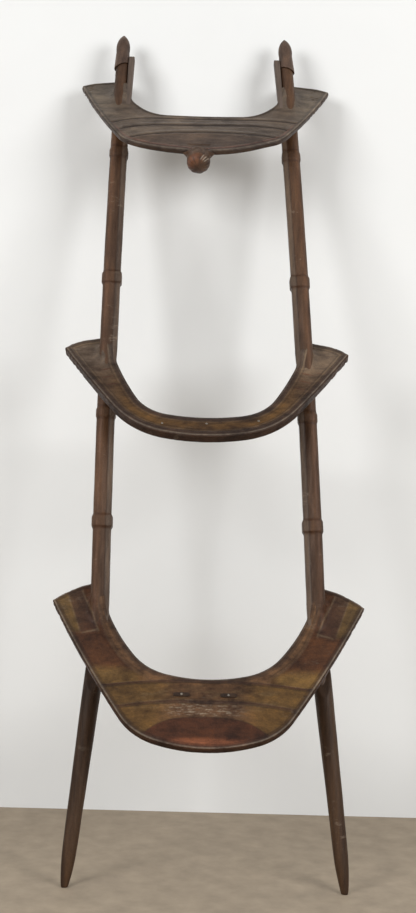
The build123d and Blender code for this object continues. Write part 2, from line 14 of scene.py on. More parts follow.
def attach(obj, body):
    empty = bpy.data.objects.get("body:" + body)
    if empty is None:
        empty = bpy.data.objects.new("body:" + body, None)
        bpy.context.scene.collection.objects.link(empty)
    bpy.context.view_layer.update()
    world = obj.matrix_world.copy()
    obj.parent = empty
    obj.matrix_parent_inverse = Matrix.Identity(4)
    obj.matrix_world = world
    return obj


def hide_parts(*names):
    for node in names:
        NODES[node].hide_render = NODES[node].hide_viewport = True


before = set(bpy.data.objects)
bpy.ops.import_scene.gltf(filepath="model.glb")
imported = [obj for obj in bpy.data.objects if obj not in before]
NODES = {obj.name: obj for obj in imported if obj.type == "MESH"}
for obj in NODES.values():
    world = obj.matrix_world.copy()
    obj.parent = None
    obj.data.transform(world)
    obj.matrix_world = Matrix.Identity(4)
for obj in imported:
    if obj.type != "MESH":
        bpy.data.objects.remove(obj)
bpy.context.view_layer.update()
MM = 0.001

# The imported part: angles, where the plane of the poles meets the floor in metres, and
# heights along the poles in millimetres
LEAN = math.radians(15.15)
TILT = math.radians(45)
RAILS_X, RAILS_Y = 0.00189, -0.17685
REAR_HEIGHT, MIDDLE_HEIGHT, FRONT_HEIGHT, TIP_HEIGHT = 419, 865, 1380, 1528
BAND_HEIGHTS = (1033, 589, 1281, 781)    # middles of the rings and collars
TOP_RACK = 35.5                          # how far the tips stand to the left of the rear arch
SPACINGS = ((358, 185.2), (1008, 173.3), (TIP_HEIGHT, 151.0))    # height, half of pole to pole


def rails(across, height):
    """Point from millimetres across the frame and along the poles."""
    y = RAILS_Y + MM * (height * math.sin(LEAN))
    z = MM * (height * math.cos(LEAN))
    return Vector((RAILS_X + MM * across, y, z))


def rack(height):
    """Sideways shift of the frame's middle line at a height."""
    return -TOP_RACK * (height - REAR_HEIGHT) / (TIP_HEIGHT - REAR_HEIGHT)


def half_spacing(height):
    """Half the distance between the poles, on the curve through three places."""
    total = 0.0
    for own, value in SPACINGS:
        for other, _ in SPACINGS:
            if other != own:
                value *= (height - other) / (own - other)
        total += value
    return total


class Arch:
    """Middle plane of one arch, with the height at which it crosses the poles."""

    def __init__(self, name, height, thickness):
        self.name = name
        self.height = height
        self.half = thickness / 2
        self.origin = rails(rack(height), height)
        self.up = Vector((0, math.sin(TILT), math.cos(TILT)))
        self.normal = Vector((0, -math.cos(TILT), math.sin(TILT)))

    def at(self, across, up, out=0.0):
        """Point from millimetres across and up the board, and in front of its face."""
        return (
            self.origin
            + Vector((MM * across, 0, 0))
            + self.up * (MM * up)
            + self.normal * (MM * (self.half + out))
        )


FRONT = Arch("front", FRONT_HEIGHT, 10)
MIDDLE = Arch("middle", MIDDLE_HEIGHT, 17)
REAR = Arch("rear", REAR_HEIGHT, 12)


# Tones, linear. First the poles, legs and caps
POLE = (0.07, 0.035, 0.018)
LATH = (0.093, 0.066, 0.048)
# painted highlight: a paler streak down each pole
POLE_HIGHLIGHT = (0.12, 0.054, 0.026)
LEG = (0.052, 0.026, 0.012)
CAP = (0.078, 0.046, 0.031)
SCUFF = (0.3, 0.23, 0.17)
# Seams, welts and edges of every board, with painted shade in their grooves and painted
# highlights on their ridges and rims
BROWN = (0.056, 0.028, 0.014)
EDGE = (0.028, 0.014, 0.009)
SIDE = (0.032, 0.014, 0.008)
# painted shade in grooves and in the valleys of pleats, and dark stitch lines
LINE_AND_SHADE = (0.012, 0.006, 0.004)
# painted highlights along raised ridges and welts
RIDGE_HIGHLIGHT = (0.14, 0.095, 0.055)
# painted highlight along the rims of the boards
SHINE = (0.26, 0.21, 0.16)
# Front arch and its knob
GREY = (0.088, 0.062, 0.043)
# paler, greyer tone of the front arch's wings, partly painted sheen
WING_TONE_AND_SHEEN = (0.1, 0.074, 0.049)
UMBER = (0.05, 0.033, 0.023)
# painted highlight on the crests above the grooves
CREST_HIGHLIGHT = (0.11, 0.085, 0.066)
# painted highlight line along the lower rim
PINK_RIM_HIGHLIGHT = (0.19, 0.085, 0.06)
BALL = (0.07, 0.035, 0.017)
RUST = (0.15, 0.05, 0.02)
PUCKER = (0.085, 0.052, 0.036)
THONG = (0.42, 0.36, 0.28)
# Middle arch
HONEY = (0.104, 0.051, 0.014)
ARM = (0.078, 0.044, 0.024)
# paler, greyer tone high on the middle arch's arms, partly painted sheen
ARM_TONE_AND_SHEEN = (0.125, 0.093, 0.068)
STITCH = (0.07, 0.02, 0.01)
# Rear arch
OLIVE = (0.085, 0.046, 0.014)
TAN = (0.1, 0.05, 0.013)
OCHRE = (0.13, 0.072, 0.021)
DUST = (0.088, 0.056, 0.026)
RUSSET = (0.115, 0.058, 0.026)
RED = (0.06, 0.022, 0.008)
SOOT = (0.042, 0.017, 0.009)
ROSE = (0.098, 0.047, 0.024)
MOON = (0.05, 0.016, 0.006)
EMBER = (0.26, 0.085, 0.036)
CHALK = (0.3, 0.24, 0.17)
SAND = (0.13, 0.08, 0.035)
TAB = (0.034, 0.018, 0.01)


# Materials

class Graph:
    """Short way to write a node material."""

    def __init__(self, name):
        self.mat = bpy.data.materials.new(name)
        self.mat.use_nodes = True
        self.tree = self.mat.node_tree
        self.tree.nodes.clear()

    def node(self, kind, inputs=None, **props):
        made = self.tree.nodes.new(kind)
        for key, value in props.items():
            setattr(made, key, value)
        for key, value in (inputs or {}).items():
            if isinstance(value, bpy.types.NodeSocket):
                self.tree.links.new(value, made.inputs[key])
            else:
                made.inputs[key].default_value = value
        return made.outputs[0] if len(made.outputs) else None

    def math(self, how, a, b, c=0.0):
        return self.node("ShaderNodeMath", {0: a, 1: b, 2: c}, operation=how)

    def noise(self, vector, scale, detail=4.0, rough=0.55):
        return self.node(
            "ShaderNodeTexNoise",
            {"Vector": vector, "Scale": scale, "Detail": detail, "Roughness": rough},
        )

    def cells(self, vector, scale):
        """Distance to the borders of cells of random shape."""
        return self.node(
            "ShaderNodeTexVoronoi", {"Vector": vector, "Scale": scale}, feature="DISTANCE_TO_EDGE"
        )

    def range(self, value, low, high, to_low=0.0, to_high=1.0):
        return self.node(
            "ShaderNodeMapRange",
            {
                "Value": value,
                "From Min": low, "From Max": high,
                "To Min": to_low, "To Max": to_high,
            },
            interpolation_type="SMOOTHSTEP",
        )

    def mix(self, factor, a, b, how="MIX"):
        made = self.tree.nodes.new("ShaderNodeMix")
        made.data_type = "RGBA"
        made.blend_type = how
        factor_input, a_input, b_input, colour_output = 0, 6, 7, 2
        for key, value in ((factor_input, factor), (a_input, a), (b_input, b)):
            if isinstance(value, bpy.types.NodeSocket):
                self.tree.links.new(value, made.inputs[key])
            elif key == factor_input:
                made.inputs[key].default_value = value
            else:
                made.inputs[key].default_value = (*value, 1)
        return made.outputs[colour_output]

    def ramp(self, factor, stops):
        made = self.tree.nodes.new("ShaderNodeValToRGB")
        self.tree.links.new(factor, made.inputs[0])
        elements = made.color_ramp.elements
        while len(elements) < len(stops):
            elements.new(0.5)
        for element, (place, colour) in zip(elements, stops):
            element.position = place
            element.color = (*colour, 1)
        return made.outputs[0]

    def place(self, vector, location=(0, 0, 0), rotation=(0, 0, 0), scale=(1, 1, 1)):
        return self.node(
            "ShaderNodeMapping",
            {"Vector": vector, "Location": location, "Rotation": rotation, "Scale": scale},
        )

    def coords(self):
        """Coordinates of the object, which are those of the scene."""
        return self.tree.nodes.new("ShaderNodeTexCoord").outputs["Object"]

    def bump(self, height, strength, distance):
        return self.node(
            "ShaderNodeBump", {"Height": height, "Strength": strength, "Distance": distance}
        )

    def finish(self, colour, rough, normal, **fixed):
        shader = self.tree.nodes.new("ShaderNodeBsdfPrincipled")
        for key, value in (("Base Color", colour), ("Roughness", rough), ("Normal", normal)):
            if isinstance(value, bpy.types.NodeSocket):
                self.tree.links.new(value, shader.inputs[key])
            elif key == "Base Color":
                shader.inputs[key].default_value = (*value, 1)
            else:
                shader.inputs[key].default_value = value
        for key, value in fixed.items():
            shader.inputs[key.replace("_", " ")].default_value = value
        self.node("ShaderNodeOutputMaterial", {"Surface": shader.outputs[0]})
        return self.mat


def board_coords(graph, arch):
    """Coordinates in metres with X across the arch and Z up its board."""
    turn = Matrix.Rotation(TILT, 3, "X")
    shift = -(turn @ arch.origin)
    return graph.place(graph.coords(), location=tuple(shift), rotation=(TILT, 0, 0))


def pole_coords(graph):
    """Coordinates in metres with Z along the poles."""
    return graph.place(graph.coords(), rotation=(LEAN, 0, 0))


GAIN = 1.85         # a written tone is this much lighter than the mean of its mottling


def hide(
    name, tone=None, arch=None, stretch=(1, 1, 1), rough=(0.36, 0.6),
    scuff=0.0, seed=0.0, gloss=0.22,
):
    """Worn, oiled rawhide. Without a tone of its own it takes the one laid on the piece."""
    graph = Graph(name)
    own = board_coords(graph, arch) if arch else pole_coords(graph)
    own = graph.place(own, location=(seed, seed * 0.7, seed * 1.3))
    drawn = graph.place(own, scale=stretch)
    broad = graph.noise(drawn, scale=16.0, detail=5.0, rough=0.6)
    mottle = graph.noise(drawn, scale=75.0, detail=6.0, rough=0.68)
    fine = graph.noise(own, scale=520.0, detail=3.0)
    pores = graph.cells(own, scale=560.0)
    creases = graph.cells(graph.place(drawn, scale=(1, 1, 0.45)), scale=95.0)
    if tone:
        base = tuple(GAIN * part for part in tone)
    else:
        base = graph.node("ShaderNodeAttribute", attribute_name="tone")
    value = graph.math("MULTIPLY_ADD", broad, 0.45, graph.math("MULTIPLY", mottle, 0.55))
    shade = graph.ramp(value, [
        (0.35, (0.2, 0.17, 0.16)), (0.5, (0.6, 0.6, 0.6)), (0.65, (1.06, 1.04, 0.96)),
    ])
    colour = graph.mix(1.0, base, shade, "MULTIPLY")
    speck = graph.range(fine, 0.35, 0.7, to_low=0.74)
    speck = graph.node("ShaderNodeCombineXYZ", {0: speck, 1: speck, 2: speck})
    colour = graph.mix(0.8, colour, speck, "MULTIPLY")
    if scuff:
        flecks = graph.place(own, scale=(0.6, 1, 1.6))
        flecks = graph.noise(flecks, scale=60.0, detail=8.0, rough=0.75)
        flecks = graph.range(flecks, 0.57, 0.66, to_high=scuff)
        rubbed = graph.range(graph.noise(own, scale=11.0, detail=2.0), 0.45, 0.6)
        colour = graph.mix(graph.math("MULTIPLY", flecks, rubbed), colour, SCUFF)
    wear = graph.range(mottle, 0.3, 0.7, to_low=rough[1], to_high=rough[0])
    height = graph.math("MULTIPLY", fine, 0.3)
    height = graph.math("MULTIPLY_ADD", graph.range(pores, 0.0, 0.12), 0.22, height)
    height = graph.math("MULTIPLY_ADD", mottle, 0.9, height)
    height = graph.math("MULTIPLY_ADD", graph.range(creases, 0.0, 0.08), 0.25, height)
    normal = graph.bump(height, strength=0.5, distance=0.0009)
    return graph.finish(colour, wear, normal, Specular_IOR_Level=gloss)


def wood(name, dark, main, light):
    """Old wood with its grain along the poles."""
    graph = Graph(name)
    own = pole_coords(graph)
    drawn = graph.place(own, scale=(1, 1, 0.045))
    grain = graph.noise(drawn, scale=620.0, detail=6.0, rough=0.6)
    broad = graph.noise(graph.place(own, scale=(1, 1, 0.15)), scale=60.0)
    value = graph.math("MULTIPLY_ADD", grain, 0.5, graph.math("MULTIPLY", broad, 0.5))
    colour = graph.ramp(value, [(0.38, dark), (0.5, main), (0.63, light)])
    normal = graph.bump(value, strength=0.5, distance=0.0006)
    wear = graph.range(grain, 0.35, 0.65, to_low=0.5, to_high=0.72)
    return graph.finish(colour, wear, normal)


def iron(name):
    """Dark iron, worn brighter in spots."""
    graph = Graph(name)
    spots = graph.noise(pole_coords(graph), scale=900.0, detail=5.0, rough=0.7)
    colour = graph.ramp(spots, [
        (0.4, (0.1, 0.08, 0.06)), (0.52, (0.26, 0.23, 0.19)), (0.66, (0.46, 0.42, 0.37)),
    ])
    normal = graph.bump(spots, strength=0.4, distance=0.0003)
    wear = graph.range(spots, 0.3, 0.7, to_low=0.35, to_high=0.6)
    return graph.finish(colour, wear, normal, Metallic=0.6)


LOOKS = {
    "pole": hide("pole", stretch=(1, 1, 0.14), scuff=0.35),
    "cap": hide("cap", CAP, stretch=(1, 1, 0.4), seed=0.4, gloss=0.3),
    "tip": hide("tip", POLE, stretch=(1, 1, 0.2)),
    "lath": wood("lath", (0.045, 0.03, 0.022), (0.085, 0.058, 0.042), (0.14, 0.1, 0.078)),
    "wood": wood("wood", (0.035, 0.017, 0.009), (0.07, 0.036, 0.019), (0.11, 0.06, 0.035)),
    "leg": hide("leg", LEG, stretch=(1, 1, 0.1), scuff=0.3, seed=0.9),
    "front": hide(
        "front", None, FRONT, stretch=(0.4, 1, 1), rough=(0.3, 0.48), scuff=0.12, gloss=0.34
    ),
    "middle": hide("middle", None, MIDDLE, stretch=(0.5, 1, 1), scuff=0.2, gloss=0.25),
    "rear": hide("rear", None, REAR, stretch=(0.6, 1, 1), scuff=0.15),
    "tab": hide("tab", TAB, REAR),
    "knob": hide("knob", None, FRONT, rough=(0.3, 0.5), gloss=0.3),
    "iron": iron("iron"),
}


def paint(obj, look):
    obj.data.materials.clear()
    obj.data.materials.append(LOOKS[look])


# Pieces

WELD = 1e-6           # metres within which vertices count as one
LEAST_MASK = 0.05     # below which a stroke is left out


def bevel(obj, width, segments):
    """Rounds the sharp edges of a node."""
    made = obj.modifiers.new("round", "BEVEL")
    made.width = width * MM
    made.segments = segments
    made.limit_method = "ANGLE"
    made.angle_limit = math.radians(35)


def added(name, data):
    """New object in the scene."""
    obj = bpy.data.objects.new(name, data)
    bpy.context.scene.collection.objects.link(obj)
    return obj


def linked(name, mesh):
    """New object from a bmesh, which it uses up."""
    data = bpy.data.meshes.new(name)
    mesh.to_mesh(data)
    mesh.free()
    return added(name, data)


def joined(name, nodes, keep=(), more=()):
    """New object with copies of the nodes' meshes and of more objects, which it uses up.

    The nodes' meshes are cut at the planes to keep, given as a place and a normal.
    """
    mesh = bmesh.new()
    for node in nodes:
        part = bmesh.new()
        part.from_mesh(NODES[node].data)
        bmesh.ops.remove_doubles(part, verts=part.verts, dist=WELD)
        for origin, normal in keep:
            geometry = part.verts[:] + part.edges[:] + part.faces[:]
            cut = bmesh.ops.bisect_plane(
                part, geom=geometry, dist=1e-7, plane_co=origin, plane_no=normal, clear_outer=True
            )
            rim = [e for e in cut["geom_cut"] if isinstance(e, bmesh.types.BMEdge)]
            bmesh.ops.holes_fill(part, edges=rim)
        if part.faces:
            copy = bpy.data.meshes.new("copy")
            part.to_mesh(copy)
            mesh.from_mesh(copy)
            bpy.data.meshes.remove(copy)
        part.free()
    for obj in more:
        mesh.from_mesh(obj.data)
        bpy.data.objects.remove(obj)
    return linked(name, mesh)


def applied(obj):
    """The object with its modifiers made part of its mesh."""
    depsgraph = bpy.context.evaluated_depsgraph_get()
    data = bpy.data.meshes.new_from_object(obj.evaluated_get(depsgraph))
    obj.modifiers.clear()
    old = obj.data
    obj.data = data
    bpy.data.meshes.remove(old)
    data.shade_smooth()
    return obj


def remesh(obj, voxel):
    made = obj.modifiers.new("remesh", "REMESH")
    made.mode = "VOXEL"
    made.voxel_size = voxel * MM


def smooth(obj, times, factor=0.5):
    made = obj.modifiers.new("smooth", "SMOOTH")
    made.iterations = times
    made.factor = factor


def swell(obj, amount):
    made = obj.modifiers.new("swell", "DISPLACE")
    made.strength = amount * MM
    made.mid_level = 0.0


def uneven(obj, amount, size, stretch=1.0):
    """Moves the surface in by a soft noise, by up to the amount."""
    data = obj.data
    normals = [v.normal.copy() for v in data.vertices]
    turn = Matrix.Rotation(LEAN, 3, "X")
    for vertex, normal in zip(data.vertices, normals):
        place = turn @ vertex.co
        place.z *= stretch
        depth = 0.5 + 0.5 * noise.noise(place / (size * MM))
        vertex.co -= normal * (amount * MM * depth)
    data.update()


def rides(obj, look, slot, *nodes):
    """Gives a drawn hide its look, and has it stand for the nodes."""
    paint(obj, look)
    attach(obj, "root")
    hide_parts(*nodes)


def rounded(obj, voxel, times):
    """Fuses the meshes in the object and softens their edges."""
    remesh(obj, voxel)
    smooth(obj, times)
    return applied(obj)


def outer_shell(obj):
    """Drops every loose shell of the mesh but the largest."""
    mesh = bmesh.new()
    mesh.from_mesh(obj.data)
    mesh.verts.ensure_lookup_table()
    left = set(mesh.verts)
    shells = []
    while left:
        stack = [left.pop()]
        shell = set(stack)
        while stack:
            for edge in stack.pop().link_edges:
                for vert in edge.verts:
                    if vert in left:
                        left.discard(vert)
                        shell.add(vert)
                        stack.append(vert)
        shells.append(shell)
    largest = max(shells, key=len)
    spare = [vert for vert in mesh.verts if vert not in largest]
    bmesh.ops.delete(mesh, geom=spare, context="VERTS")
    mesh.to_mesh(obj.data)
    mesh.free()


def filled(obj, voxel, reach, times):
    """Closes the hollows that are narrower than twice the reach, as drawn hide does."""
    remesh(obj, voxel)
    swell(obj, reach)
    remesh(obj, voxel)
    applied(obj)
    outer_shell(obj)
    swell(obj, -reach)
    smooth(obj, times)
    return applied(obj)


def step(value, low, high):
    """From 0 at the low value to 1 at the high one, with soft ends."""
    part = np.clip((value - low) / (high - low), 0, 1)
    return part * part * (3 - 2 * part)


def places_of(data):
    """Places of a mesh's vertices, as rows."""
    flat = np.empty(len(data.vertices) * 3)
    data.vertices.foreach_get("co", flat)
    return flat.reshape(-1, 3)


def in_channel(arch, across, up):
    """Whether a place on a board lies about the channel that a pole runs in."""
    beside = abs(across) - half_spacing(arch.height)
    return math.hypot(beside / HOLE[0], up / HOLE[1]) < 1


def outline_dots(arch):
    """Places along the outline of a board, in millimetres across and up it."""
    cover = bmesh.new()
    cover.from_mesh(NODES[arch.name + "_arch_front_cover"].data)
    bmesh.ops.remove_doubles(cover, verts=cover.verts, dist=WELD)
    cover.normal_update()
    dots = []
    for edge in cover.edges:
        flat = {abs(face.normal.dot(arch.normal)) > 0.7 for face in edge.link_faces}
        if len(flat) < 2:
            continue
        ends = []
        for vert in edge.verts:
            own = (vert.co - arch.origin) / MM
            ends.append((own.x, own.dot(arch.up)))
        if edge.calc_length() < NAIL_HOLE * MM or all(in_channel(arch, *end) for end in ends):
            continue
        (x, y), (far_x, far_y) = ends
        pieces = int(math.hypot(far_x - x, far_y - y) / DOT_PITCH) + 1
        for i in range(pieces):
            dots.append((x + (far_x - x) * i / pieces, y + (far_y - y) * i / pieces))
    cover.free()
    return dots


class Coat:
    """Tone and relief laid on a piece in strokes. Masks run from 0 to 1 on its vertices."""

    def __init__(self, obj, tone):
        self.obj = obj
        self.places = places_of(obj.data)
        self.tone = np.tile(np.array(tone, float), (len(self.places), 1))
        self.relief = np.zeros(len(self.places))

    def lay(self, mask, tone, amount=1.0, relief=0.0):
        """Mixes in a tone by an amount, and raises the surface by the relief in millimetres."""
        self.tone += (np.array(tone) - self.tone) * (mask * amount)[:, None]
        self.relief += relief * mask

    def finish(self):
        """Moves the vertices and writes their tones."""
        data = self.obj.data
        normals = np.array([vertex.normal for vertex in data.vertices])
        moved = self.places + normals * (self.relief * MM)[:, None]
        data.vertices.foreach_set("co", moved.ravel())
        data.update()
        attribute = data.color_attributes.new("tone", "FLOAT_COLOR", "POINT")
        tones = np.c_[self.tone * GAIN, np.ones(len(self.tone))]
        attribute.data.foreach_set("color", tones.ravel())


class BoardCoat(Coat):
    """Coat of an arch. Millimetres across and up the board; strokes keep to its front."""

    def __init__(self, obj, arch, tone):
        super().__init__(obj, tone)
        own = (self.places - np.array(arch.origin)) / MM
        self.x, self.up, out = own[:, 0], own @ np.array(arch.up), own @ np.array(arch.normal)
        self.side = np.abs(self.x)
        rim = arch.half - 1.5
        self.front = step(out, rim, arch.half)
        self.faces = step(np.abs(out), rim, arch.half)
        self.far, self.outer = self.from_edge(arch)

    def lay(self, mask, tone, amount=1.0, relief=0.0):
        super().lay(mask * self.front, tone, amount, relief)

    def from_edge(self, arch):
        """Distance to the outline of the board, and where the outer edge is the nearest."""
        dots = outline_dots(arch)
        tree = kdtree.KDTree(len(dots))
        for i, (x, y) in enumerate(dots):
            tree.insert((x, y, 0), i)
        tree.balance()
        far, outer = np.zeros(len(self.x)), np.zeros(len(self.x))
        for i, (x, y, face) in enumerate(zip(self.x, self.up, self.faces)):
            if face > 0:
                spot, _, far[i] = tree.find((x, y, 0))
                from_centre = math.hypot(spot.x, spot.y - OPENING_CENTRE)
                outer[i] = from_centre > math.hypot(x, y - OPENING_CENTRE)
        return far, outer

    def above(self, points, mirror=True):
        """Millimetres above a smooth curve that runs across the board."""
        x, y = np.array(points, float).T
        along = np.clip(self.side if mirror else self.x, x.min(), x.max())
        curve = np.polyfit(x, y, min(4, len(points) - 1))
        slope = np.polyval(np.polyder(curve), along)
        return (self.up - np.polyval(curve, along)) / np.sqrt(1 + slope**2)

    def beyond(self, points):
        """Millimetres outside a smooth curve that runs up an arm of the board."""
        x, y = np.array(points, float).T
        along = np.clip(self.up, y.min(), y.max())
        curve = np.polyfit(y, x, min(3, len(points) - 1))
        slope = np.polyval(np.polyder(curve), along)
        return (self.side - np.polyval(curve, along)) / np.sqrt(1 + slope**2)

    def round_edge(self, reach, depth):
        """Rolls both faces off towards the outline."""
        part = np.clip(1 - self.far / reach, 0, 1)
        self.relief -= depth * (1 - np.sqrt(1 - part * part)) * self.faces

    def ragged(self, mask, depth):
        """Nibbles at the side of the board where the mask is set."""
        size, least = 6.0, 0.1
        for i in np.nonzero(mask * (1 - self.faces) > LEAST_MASK)[0]:
            bite = noise.noise(Vector(self.places[i]) / (size * MM))
            self.relief[i] -= depth * mask[i] * max(0.0, bite + least) * 2

    def scraped(self, mask, tone, size=4.0):
        """Lays thin, worn flecks, drawn out across the board, where the mask is set."""
        flecks = np.zeros(len(self.x))
        across, up = 0.4, 1.6
        for i in np.nonzero(mask * self.front > LEAST_MASK)[0]:
            place = Vector((self.x[i] * across, self.up[i] * up, 0))
            flecks[i] = noise.fractal(place / size, 0.5, 2.3, 6)
        self.lay(mask * step(flecks, -0.1, 0.9), tone, 0.8)

    def within(self, value, low, high, soft=6.0):
        """1 between two values, and 0 beyond them."""
        return step(value, low - soft, low + soft) * step(-value, -high - soft, -high + soft)


def ridge(distance, width):
    """1 on a line, and less and less beside it."""
    return np.exp(-((distance / width) ** 2))


def near(place, radius):
    """Six planes that keep a box of this half size round a place."""
    return [
        (place + direction * radius * MM, direction)
        for axis in (Vector((1, 0, 0)), Vector((0, 1, 0)), Vector((0, 0, 1)))
        for direction in (axis, -axis)
    ]


SIDES = {"left": -1, "right": 1}
THROUGH = {
    "front": ("tip_sleeve", "tip_lath", "upper_sleeve", "upper_lath", "pole"),
    "middle": ("upper_sleeve", "upper_lath", "lower_sleeve", "lower_lath", "pole"),
    "rear": ("lower_sleeve", "lower_lath", "pole"),
}
TRIM = {
    "front": ["front_arch_upper_band", "front_arch_lower_band", "front_arch_panel"],
    "middle": [],
    "rear": ["rear_arch_centre_band", "rear_arch_half_moon", "rear_arch_lower_panel"]
    + [f"{side}_{name}" for side in SIDES for name in ("wing_strip", "wing_panel", "red_panel")],
}
GUSSET_REACH = 44     # half the box in which hide is drawn from a board up on to a pole
HOLE = (24, 40)       # across and up a board, round the channel that a pole runs in
NAIL_HOLE = 1.3       # longer than the edges round the hole of a nail
DOT_PITCH = 2         # between two places that stand for the outline of a board
OPENING_CENTRE = 60   # up a board, inside its opening
LATH_SEAM = 11        # inwards from a pole's axis, where its lath begins
BAND_EDGE = 11        # from the middle of a ring or collar to where its rim is dark
TIP_MIDDLE = 1450     # height of the middle of a tip, and half the box that it lies in
TIP_REACH = 90


def board_skin(arch):
    """One hide over a board and its trim, drawn on to the poles that come through it."""
    a = arch.name + "_arch_"
    covers = [a + name for name in ("front_cover", "back_cover", "binding")]
    trim = TRIM[arch.name] + [a + "edging"]
    gussets = []
    for side, sign in SIDES.items():
        crossing = rails(sign * half_spacing(arch.height) + rack(arch.height), arch.height)
        through = [f"{side}_{name}" for name in THROUGH[arch.name]]
        gusset = joined("gusset", covers + [a + "core"] + through, near(crossing, GUSSET_REACH))
        filled(gusset, voxel=2.0, reach=8.0, times=6)
        gussets.append(gusset)
    obj = joined(a + "skin", covers + [a + "core"] + trim, more=gussets)
    rounded(obj, voxel=1.5, times=4)
    uneven(obj, amount=0.35, size=18.0)
    rides(obj, arch.name, "hide_brown", *covers, *trim)
    return obj


def rim_strokes(coat, width):
    """Dark welt along the outline, with a painted highlight line, mostly on the outer edge, and
    painted shade in the groove inside the welt.
    """
    # painted highlight: a pale line just inside the outline, stronger on the outer edge
    rim_highlight = ridge(coat.far - 2.2, 1.3)
    coat.lay(1 - step(coat.far, width - 2, width + 1), EDGE, 0.75, 0.25)
    # painted shade in the groove inside the welt
    coat.lay(ridge(coat.far - width - 1, 1.3), LINE_AND_SHADE, 0.5, -0.35)
    coat.lay(rim_highlight * coat.outer, SHINE, 0.55)
    coat.lay(rim_highlight * (1 - coat.outer), SHINE, 0.22)
    Coat.lay(coat, 1 - coat.faces, SIDE, 0.7)


def dress_rear():
    """Rear arch: patches on its arms, two raised lines across its middle and a half moon."""
    coat = BoardCoat(board_skin(REAR), REAR, RED)
    upper = coat.above([(0, -118), (65, -119), (92, -121), (162, -130)])
    lower = coat.above([(0, -157), (55, -157), (138, -169)])
    moon = coat.above([(0, -184), (54, -190), (80, -202), (94, -214)])
    cross = coat.above([(180, -20), (209, -29)])
    strip = coat.beyond([(211, -23), (239, 57)])
    panel = coat.beyond([(180, -22), (213, 58)])
    welt = coat.beyond([
        (104, -108), (113, -102), (128, -90), (143, -71), (158, -46), (172, -17), (196, 40),
    ])
    arm = step(coat.up, -34, -28)
    below = step(-coat.up, 22, 30)
    low = step(-upper, 0, 2)

    coat.lay(step(-welt, 0, 3), RUSSET)
    coat.lay(arm * step(strip, -1, 1), OLIVE)
    coat.lay(arm * step(-strip, -1, 1) * step(panel, -1, 1), SOOT)
    coat.lay(below * step(welt, 0, 3) * step(coat.up, -112, -92), RED)
    fade = step(-coat.up, 86, 108) * step(welt, -8, 10)
    coat.lay(fade * step(upper, 0, 2), OCHRE, 0.9)
    coat.lay(step(coat.side, 185, 262) * arm * step(panel, -1, 1), DUST, 0.4)
    coat.lay(low, TAN)
    coat.lay(low * step(-coat.side, -95, -35), ROSE, 0.65)
    coat.lay(low * step(lower, 0, 2) * step(coat.side, 40, 120), OLIVE, 0.4)
    coat.lay(step(-lower, 0, 2) * step(-coat.side, -85, -30) * step(moon, -2, 8), ROSE, 0.6)
    coat.lay(step(-moon, -1, 1.5) * step(-coat.side, -100, -94), MOON)
    coat.lay(step(-coat.up, 219, 231) * step(-coat.side, -90, -40), EMBER, 0.6)

    coat.scraped(coat.within(lower, -26, -3, 4) * step(-coat.side, -75, -35), CHALK)
    coat.scraped(coat.within(lower, -12, 30, 8) * step(-coat.side, -140, -90), SAND, 12)

    for line, ends in ((upper, 168), (lower, 143)):
        reach = step(-coat.side, -ends - 4, -ends + 4)
        coat.lay(ridge(line, 2.6) * reach, SOOT, 0.85, 0.9)
        # painted shade under each raised line, and a painted highlight along its top
        coat.lay(ridge(line + 3.4, 1.2) * reach, LINE_AND_SHADE, 0.5, -0.2)
        coat.lay(ridge(line - 2.6, 1.2) * reach, RIDGE_HIGHLIGHT, 0.25)
    coat.lay(ridge(moon, 1.2) * step(-coat.side, -98, -92), LINE_AND_SHADE, 0.4, -0.3)
    tall = coat.within(coat.up, -26, 62)
    # painted highlights along the raised ridges on the arms
    coat.lay(ridge(strip, 1.3) * tall, RIDGE_HIGHLIGHT, 0.35, 0.35)
    coat.lay(ridge(panel, 1.6) * tall, RIDGE_HIGHLIGHT, 0.5, 0.6)
    coat.lay(ridge(cross, 1.6) * coat.within(coat.side, 182, 207, 3), RIDGE_HIGHLIGHT, 0.55, 0.5)
    along = coat.within(coat.up, -108, 20)
    # painted highlight along the welt, and painted shade in the groove inside it
    coat.lay(ridge(welt, 1.9) * along, RIDGE_HIGHLIGHT, 0.3, 0.8)
    coat.lay(ridge(welt + 4, 1.5) * along, LINE_AND_SHADE, 0.45, -0.3)
    stitches = 0.5 + 0.5 * np.sin(coat.up / 2.1)
    coat.lay(ridge(strip - 9, 0.9) * tall * stitches, LINE_AND_SHADE, 0.3)
    coat.lay(ridge(upper + 19, 14) * step(-coat.side, -62, -50), SOOT, 0.25)

    rim_strokes(coat, width=7.5)
    coat.round_edge(reach=7, depth=3.6)
    coat.ragged(step(coat.side, 215, 235), depth=0.9)
    coat.finish()


def dress_middle():
    """Middle arch: a welt inside its rim, and three rows of stitches on each arm."""
    coat = BoardCoat(board_skin(MIDDLE), MIDDLE, BROWN)
    inside = step(coat.far, 11, 15)
    arm = step(coat.side, 120, 175)
    coat.lay(inside, HONEY)
    coat.lay(inside * arm, ARM, 0.9)
    # paler, greyer tone high on the arms, partly painted sheen
    coat.lay(arm * step(coat.up, -60, 20), ARM_TONE_AND_SHEEN, 0.6)
    # painted highlight along the welt, and painted shade in the groove inside it
    coat.lay(ridge(coat.far - 12, 1.8), RIDGE_HIGHLIGHT, 0.3, 0.55)
    coat.lay(ridge(coat.far - 15.5, 1.4), LINE_AND_SHADE, 0.45, -0.3)
    stitches = step(np.sin(coat.up / 1.7 + coat.side / 5), 0.2, 0.8)
    for place in (-14, -34, -52):
        row = ridge(coat.up - place, 3.5) * coat.within(coat.far, 16, 30, 3) * stitches
        coat.lay(row * step(coat.side, 130, 150), STITCH, 0.6, -0.25)
    rim_strokes(coat, width=9)
    coat.round_edge(reach=9, depth=5.0)
    coat.ragged(step(coat.side, 205, 228), depth=0.9)
    coat.finish()


